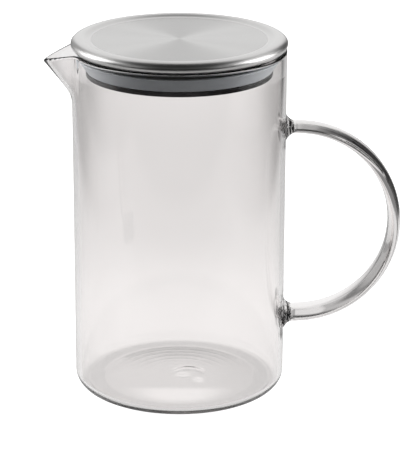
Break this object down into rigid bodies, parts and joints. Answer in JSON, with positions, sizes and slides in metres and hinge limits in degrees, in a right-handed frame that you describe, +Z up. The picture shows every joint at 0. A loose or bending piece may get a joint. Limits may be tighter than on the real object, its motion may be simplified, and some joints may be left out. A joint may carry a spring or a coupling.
{
  "type": "glass pitcher with lid",
  "caption": "Straight glass pitcher with a pinched pouring beak, a fused half-round glass handle and a lift-off steel lid with a silicone seal.",
  "frame": {"origin": "centre of the foot, on the table plane, on the axis of the glass cylinder", "axes": "+Z up along the axis of the glass, +X towards the handle, -X towards the pouring beak"},
  "size_m": [0.1769, 0.1056, 0.179],
  "materials": {
    "clear_glass": "clear fire-polished borosilicate glass",
    "brushed_steel": "circular brushed face with a polished rolled edge",
    "black_plastic": "fine satin moulding",
    "grey_silicone": "smooth satin silicone"
  },
  "bodies": {
    "jug": {"glass_body": "clear_glass", "glass_handle": "clear_glass"},
    "seal": {"lid_seal": "grey_silicone"},
    "lid": {"lid_cap": "brushed_steel", "lid_plug": "black_plastic"}
  },
  "joints": [
    {"name": "lid_lift", "type": "slide", "parent": "jug", "child": "seal", "axis": [0, 0, 1], "range_m": [0, 0.1]},
    {"name": "lid_turn", "type": "hinge", "parent": "seal", "child": "lid", "pos_m": [0, 0, 0.1736], "axis": [0, 0, 1], "continuous": true}
  ]
}
